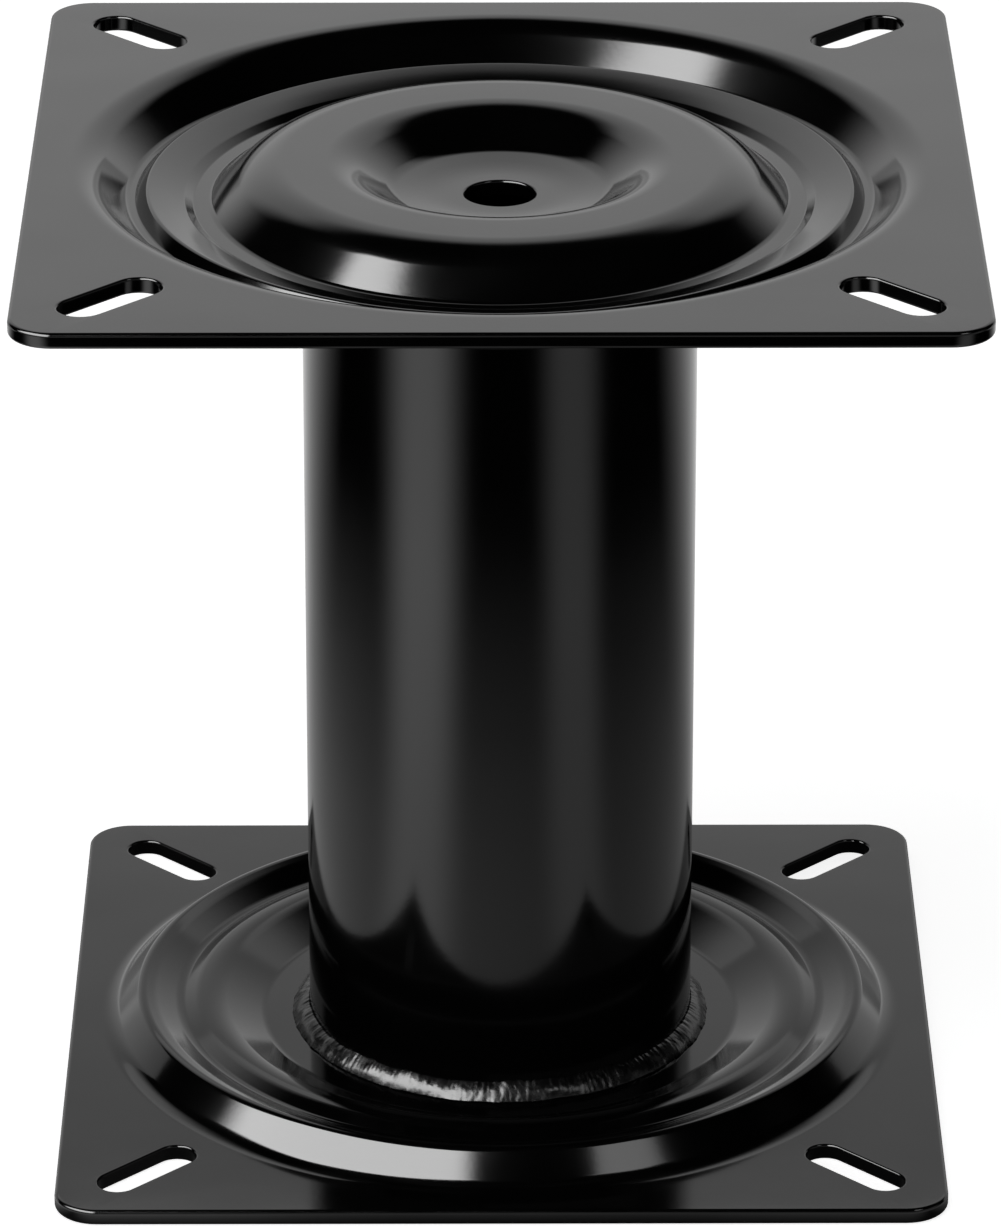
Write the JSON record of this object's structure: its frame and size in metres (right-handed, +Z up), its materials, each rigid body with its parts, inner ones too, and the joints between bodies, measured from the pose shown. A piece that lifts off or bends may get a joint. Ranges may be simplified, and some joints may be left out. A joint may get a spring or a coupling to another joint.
{
  "type": "boat seat pedestal",
  "caption": "Short fixed pedestal for a boat seat: a round steel column welded between two square plates, each pressed with concentric rings and cut with diagonal bolt slots in its corners.",
  "frame": {"origin": "on the column's axis, at the underside of the base plate", "axes": "+Z up along the column, towards the seat; X and Y along the sides of the square plates"},
  "size_m": [0.172, 0.172, 0.177],
  "materials": {
    "seat_plate": "gloss",
    "column_tube": "gloss",
    "base_plate": "gloss",
    "seat_weld": "gloss",
    "base_weld": "gloss"
  },
  "bodies": {
    "root": {"seat_plate": "seat_plate", "column_tube": "column_tube", "base_plate": "base_plate", "seat_weld": "seat_weld", "base_weld": "base_weld"}
  },
  "joints": []
}
